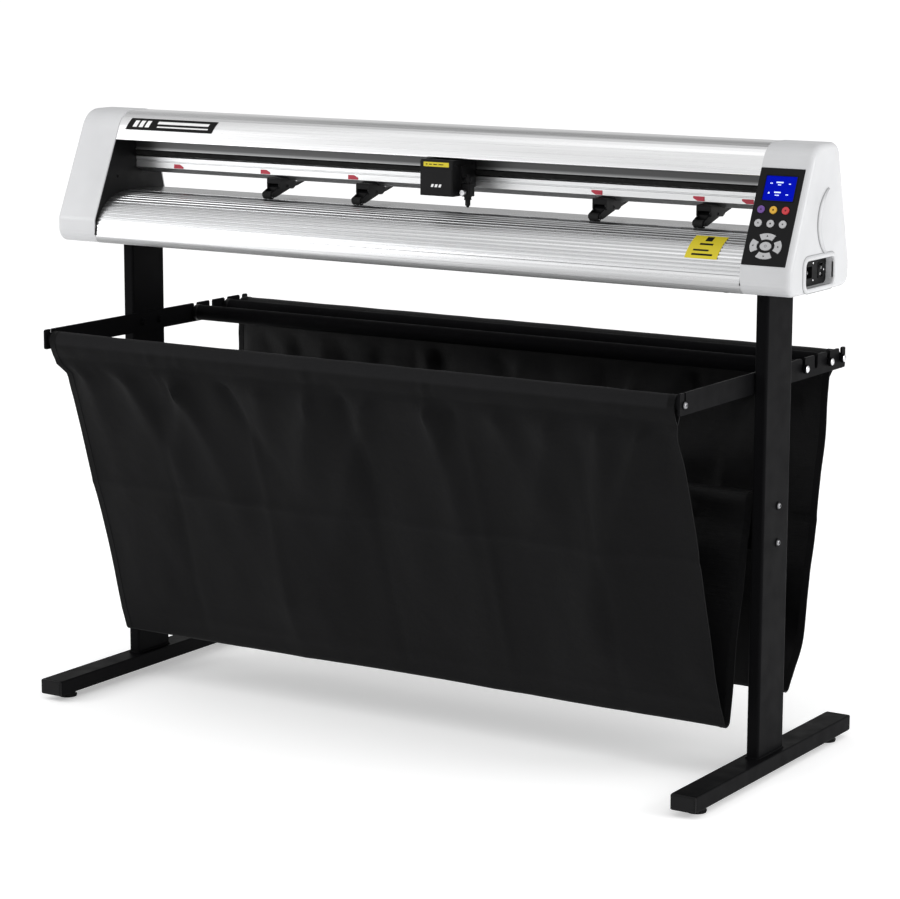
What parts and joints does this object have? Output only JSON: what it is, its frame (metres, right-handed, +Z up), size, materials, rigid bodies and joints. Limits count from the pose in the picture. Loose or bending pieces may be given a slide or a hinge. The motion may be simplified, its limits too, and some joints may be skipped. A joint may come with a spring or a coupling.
{
  "type": "vinyl cutter",
  "caption": "Floor-standing vinyl cutter: wide cutting head with a travelling blade carriage, pinch rollers and keypad, on a steel stand with media rollers and a hanging cloth basket.",
  "frame": {"origin": "on the floor, below the middle of the columns", "axes": "+Z up, +X to the right along the machine, -Y towards the operator at the front"},
  "size_m": [1.552, 0.636, 1.11],
  "materials": {
    "white_plastic": "white moulded plastic, satin",
    "black_plastic": "black moulded plastic, satin",
    "silver_aluminium": "silver anodised, satin",
    "black_steel": "black powder coat, satin",
    "bright_steel": "ground bright",
    "grit_steel": "gritted bands, dull",
    "black_rubber": "matt",
    "black_nylon": "woven black nylon cloth",
    "blue_screen": "backlit blue display",
    "purple_key": "moulded key",
    "yellow_key": "moulded key",
    "red_key": "moulded key",
    "grey_key": "moulded key",
    "green_board": "circuit board lacquer"
  },
  "bodies": {
    "frame": {"left_leg": "black_steel", "right_leg": "black_steel", "crossbeam": "black_steel", "left_arm": "black_steel", "right_arm": "black_steel", "front_rod": "black_steel", "rear_rod": "black_steel", "carriage_motor": "black_steel", "feed_motor": "black_steel", "media_basket": "black_nylon", "platen": "silver_aluminium", "top_cover": "silver_aluminium", "beam": "silver_aluminium", "bottom_tray": "silver_aluminium", "left_side_plate": "black_plastic", "right_side_plate": "black_plastic", "control_panel": "black_plastic", "power_inlet": "black_plastic", "left_end_cap": "white_plastic", "right_end_cap": "white_plastic", "guide_shaft": "bright_steel", "drive_belt": "black_rubber", "control_board": "green_board", "lcd_screen": "blue_screen"},
    "front_media_roller": {"front_media_roller": "black_steel"},
    "rear_media_roller": {"rear_media_roller": "black_steel"},
    "grit_drum": {"grit_drum": "grit_steel"},
    "carriage": {"carriage": "black_plastic"},
    "tool_clamp": {"tool_clamp": "black_plastic"},
    "clamp_knob": {"clamp_knob": "bright_steel"},
    "drive_pulley": {"drive_pulley": "silver_aluminium"},
    "idler_pulley": {"idler_pulley": "silver_aluminium"},
    "rocker_switch": {"rocker_switch": "black_plastic"},
    "menu_key": {"menu_key": "purple_key"},
    "offline_key": {"offline_key": "yellow_key"},
    "reset_key": {"reset_key": "red_key"},
    "speed_key": {"speed_key": "grey_key"},
    "force_key": {"force_key": "grey_key"},
    "test_key": {"test_key": "grey_key"},
    "right_arrow_key": {"right_arrow_key": "grey_key"},
    "up_arrow_key": {"up_arrow_key": "grey_key"},
    "left_arrow_key": {"left_arrow_key": "grey_key"},
    "down_arrow_key": {"down_arrow_key": "grey_key"},
    "enter_key": {"enter_key": "grey_key"},
    "pinch_bracket_1": {"pinch_bracket_1": "black_plastic"},
    "pinch_arm_1": {"pinch_arm_1": "black_plastic"},
    "pinch_wheel_1": {"pinch_wheel_1": "black_rubber"},
    "levelling_foot_1": {"levelling_foot_1": "black_rubber"},
    "pinch_bracket_2": {"pinch_bracket_2": "black_plastic"},
    "pinch_arm_2": {"pinch_arm_2": "black_plastic"},
    "pinch_wheel_2": {"pinch_wheel_2": "black_rubber"},
    "levelling_foot_2": {"levelling_foot_2": "black_rubber"},
    "pinch_bracket_3": {"pinch_bracket_3": "black_plastic"},
    "pinch_arm_3": {"pinch_arm_3": "black_plastic"},
    "pinch_wheel_3": {"pinch_wheel_3": "black_rubber"},
    "levelling_foot_3": {"levelling_foot_3": "black_rubber"},
    "pinch_bracket_4": {"pinch_bracket_4": "black_plastic"},
    "pinch_arm_4": {"pinch_arm_4": "black_plastic"},
    "pinch_wheel_4": {"pinch_wheel_4": "black_rubber"},
    "levelling_foot_4": {"levelling_foot_4": "black_rubber"}
  },
  "joints": [
    {"name": "front_media_roller_spin", "type": "hinge", "parent": "frame", "child": "front_media_roller", "pos_m": [0, 0.145, 0.7], "axis": [1, 0, 0], "continuous": true},
    {"name": "rear_media_roller_spin", "type": "hinge", "parent": "frame", "child": "rear_media_roller", "pos_m": [0, 0.247, 0.7], "axis": [1, 0, 0], "continuous": true},
    {"name": "grit_drum_spin", "type": "hinge", "parent": "frame", "child": "grit_drum", "pos_m": [0, -0.045, 0.945], "axis": [1, 0, 0], "continuous": true},
    {"name": "carriage_travel", "type": "slide", "parent": "frame", "child": "carriage", "axis": [1, 0, 0], "range_m": [-0.69, 0.56]},
    {"name": "drive_pulley_spin", "type": "hinge", "parent": "frame", "child": "drive_pulley", "pos_m": [0.709, 0.001, 1.0265], "axis": [0, 0, 1], "continuous": true},
    {"name": "idler_pulley_spin", "type": "hinge", "parent": "frame", "child": "idler_pulley", "pos_m": [-0.709, 0.001, 1.0265], "axis": [0, 0, 1], "continuous": true},
    {"name": "tool_plunge", "type": "slide", "parent": "carriage", "child": "tool_clamp", "axis": [0, 0, 1], "range_m": [-0.011, 0], "stiffness_N_per_m": 40, "springref_m": 0.012},
    {"name": "clamp_knob_turn", "type": "hinge", "parent": "tool_clamp", "child": "clamp_knob", "pos_m": [0.1, -0.0755, 0.996], "axis": [0, -1, 0], "range_deg": [0, 540]},
    {"name": "menu_key_press", "type": "slide", "parent": "frame", "child": "menu_key", "axis": [0, -0.9119, 0.4104], "range_m": [-0.0008, 0], "stiffness_N_per_m": 400, "springref_m": 0.0004},
    {"name": "offline_key_press", "type": "slide", "parent": "frame", "child": "offline_key", "axis": [0, -0.9119, 0.4104], "range_m": [-0.0008, 0], "stiffness_N_per_m": 400, "springref_m": 0.0004},
    {"name": "reset_key_press", "type": "slide", "parent": "frame", "child": "reset_key", "axis": [0, -0.9119, 0.4104], "range_m": [-0.0008, 0], "stiffness_N_per_m": 400, "springref_m": 0.0004},
    {"name": "speed_key_press", "type": "slide", "parent": "frame", "child": "speed_key", "axis": [0, -0.9119, 0.4104], "range_m": [-0.0008, 0], "stiffness_N_per_m": 400, "springref_m": 0.0004},
    {"name": "force_key_press", "type": "slide", "parent": "frame", "child": "force_key", "axis": [0, -0.9119, 0.4104], "range_m": [-0.0008, 0], "stiffness_N_per_m": 400, "springref_m": 0.0004},
    {"name": "test_key_press", "type": "slide", "parent": "frame", "child": "test_key", "axis": [0, -0.9119, 0.4104], "range_m": [-0.0008, 0], "stiffness_N_per_m": 400, "springref_m": 0.0004},
    {"name": "right_arrow_key_press", "type": "slide", "parent": "frame", "child": "right_arrow_key", "axis": [0, -0.9119, 0.4104], "range_m": [-0.0008, 0], "stiffness_N_per_m": 400, "springref_m": 0.0004},
    {"name": "up_arrow_key_press", "type": "slide", "parent": "frame", "child": "up_arrow_key", "axis": [0, -0.9119, 0.4104], "range_m": [-0.0008, 0], "stiffness_N_per_m": 400, "springref_m": 0.0004},
    {"name": "left_arrow_key_press", "type": "slide", "parent": "frame", "child": "left_arrow_key", "axis": [0, -0.9119, 0.4104], "range_m": [-0.0008, 0], "stiffness_N_per_m": 400, "springref_m": 0.0004},
    {"name": "down_arrow_key_press", "type": "slide", "parent": "frame", "child": "down_arrow_key", "axis": [0, -0.9119, 0.4104], "range_m": [-0.0008, 0], "stiffness_N_per_m": 400, "springref_m": 0.0004},
    {"name": "enter_key_press", "type": "slide", "parent": "frame", "child": "enter_key", "axis": [0, -0.9119, 0.4104], "range_m": [-0.0008, 0], "stiffness_N_per_m": 400, "springref_m": 0.0004},
    {"name": "rocker_switch_tilt", "type": "hinge", "parent": "frame", "child": "rocker_switch", "pos_m": [0.7575, 0, 0.8955], "axis": [0, 1, 0], "range_deg": [0, 18]},
    {"name": "pinch_slide_1", "type": "slide", "parent": "frame", "child": "pinch_bracket_1", "axis": [1, 0, 0], "range_m": [-0.075, 0.075]},
    {"name": "pinch_lift_1", "type": "hinge", "parent": "pinch_bracket_1", "child": "pinch_arm_1", "pos_m": [-0.347, -0.004, 0.9795], "axis": [-1, 0, 0], "range_deg": [0, 6], "stiffness_Nm_per_rad": 0.6, "springref_deg": -20.05},
    {"name": "pinch_wheel_spin_1", "type": "hinge", "parent": "pinch_arm_1", "child": "pinch_wheel_1", "pos_m": [-0.347, -0.045, 0.965], "axis": [1, 0, 0], "continuous": true},
    {"name": "pinch_slide_2", "type": "slide", "parent": "frame", "child": "pinch_bracket_2", "axis": [1, 0, 0], "range_m": [-0.075, 0.075]},
    {"name": "pinch_lift_2", "type": "hinge", "parent": "pinch_bracket_2", "child": "pinch_arm_2", "pos_m": [-0.146, -0.004, 0.9795], "axis": [-1, 0, 0], "range_deg": [0, 6], "stiffness_Nm_per_rad": 0.6, "springref_deg": -20.05},
    {"name": "pinch_wheel_spin_2", "type": "hinge", "parent": "pinch_arm_2", "child": "pinch_wheel_2", "pos_m": [-0.146, -0.045, 0.965], "axis": [1, 0, 0], "continuous": true},
    {"name": "pinch_slide_3", "type": "slide", "parent": "frame", "child": "pinch_bracket_3", "axis": [1, 0, 0], "range_m": [-0.075, 0.075]},
    {"name": "pinch_lift_3", "type": "hinge", "parent": "pinch_bracket_3", "child": "pinch_arm_3", "pos_m": [0.352, -0.004, 0.9795], "axis": [-1, 0, 0], "range_deg": [0, 6], "stiffness_Nm_per_rad": 0.6, "springref_deg": -20.05},
    {"name": "pinch_wheel_spin_3", "type": "hinge", "parent": "pinch_arm_3", "child": "pinch_wheel_3", "pos_m": [0.352, -0.045, 0.965], "axis": [1, 0, 0], "continuous": true},
    {"name": "pinch_slide_4", "type": "slide", "parent": "frame", "child": "pinch_bracket_4", "axis": [1, 0, 0], "range_m": [-0.075, 0.075]},
    {"name": "pinch_lift_4", "type": "hinge", "parent": "pinch_bracket_4", "child": "pinch_arm_4", "pos_m": [0.556, -0.004, 0.9795], "axis": [-1, 0, 0], "range_deg": [0, 6], "stiffness_Nm_per_rad": 0.6, "springref_deg": -20.05},
    {"name": "pinch_wheel_spin_4", "type": "hinge", "parent": "pinch_arm_4", "child": "pinch_wheel_4", "pos_m": [0.556, -0.045, 0.965], "axis": [1, 0, 0], "continuous": true},
    {"name": "levelling_foot_turn_1", "type": "hinge", "parent": "frame", "child": "levelling_foot_1", "pos_m": [-0.68, -0.255, 0.006], "axis": [0, 0, 1], "continuous": true},
    {"name": "levelling_foot_turn_2", "type": "hinge", "parent": "frame", "child": "levelling_foot_2", "pos_m": [-0.68, 0.255, 0.006], "axis": [0, 0, 1], "continuous": true},
    {"name": "levelling_foot_turn_3", "type": "hinge", "parent": "frame", "child": "levelling_foot_3", "pos_m": [0.68, -0.255, 0.006], "axis": [0, 0, 1], "continuous": true},
    {"name": "levelling_foot_turn_4", "type": "hinge", "parent": "frame", "child": "levelling_foot_4", "pos_m": [0.68, 0.255, 0.006], "axis": [0, 0, 1], "continuous": true}
  ],
  "couplings": [
    {"joint": "drive_pulley_spin", "follows": "carriage_travel", "rad_per_m": 103.63},
    {"joint": "idler_pulley_spin", "follows": "carriage_travel", "rad_per_m": 103.63}
  ]
}
